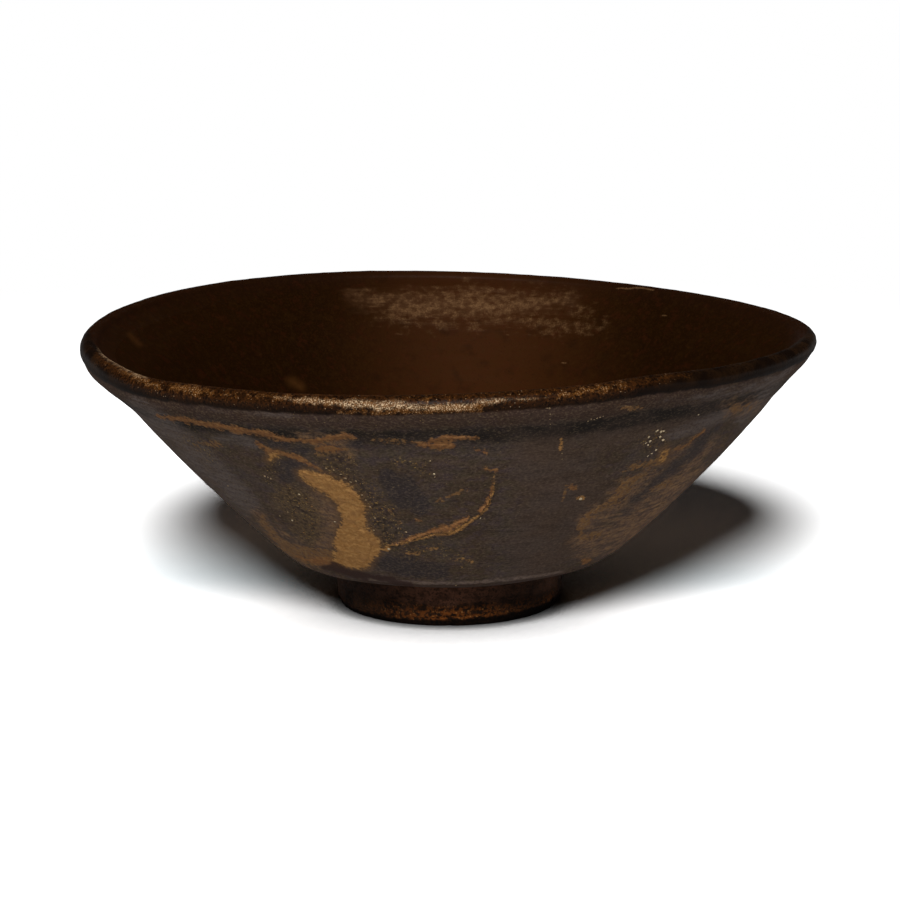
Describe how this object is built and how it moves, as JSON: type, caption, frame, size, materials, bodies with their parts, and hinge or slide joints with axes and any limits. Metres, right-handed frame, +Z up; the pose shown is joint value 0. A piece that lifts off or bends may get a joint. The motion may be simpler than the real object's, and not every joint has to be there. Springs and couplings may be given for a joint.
{
  "type": "tea bowl",
  "caption": "Wide conical tea bowl of dark brown glazed stoneware on a small turned foot ring, with a rolled, slightly warped rim and ochre crusts on the outside.",
  "frame": {"origin": "middle of the foot ring's flat face, on the surface that the bowl stands on", "axes": "+Z up the axis of the bowl, -Y towards the pictured front, +X to the right in the picture"},
  "size_m": [0.1299, 0.13, 0.0516],
  "materials": {
    "stoneware": "matt",
    "foot_clay": "matt",
    "dark_wash": "satin",
    "outer_glaze": "satin",
    "lip_glaze": "gloss",
    "inner_glaze": "satin",
    "ochre_crust": "matt"
  },
  "bodies": {
    "root": {"clay_body": "stoneware", "foot_ring": "foot_clay", "foot_wash": "dark_wash", "outer_glaze": "outer_glaze", "lip_glaze": "lip_glaze", "inner_glaze": "inner_glaze", "crescent_crust": "ochre_crust", "ridge_crust": "ochre_crust", "streak_crust": "ochre_crust", "island_crust": "ochre_crust", "scatter_crust": "ochre_crust"}
  },
  "joints": []
}
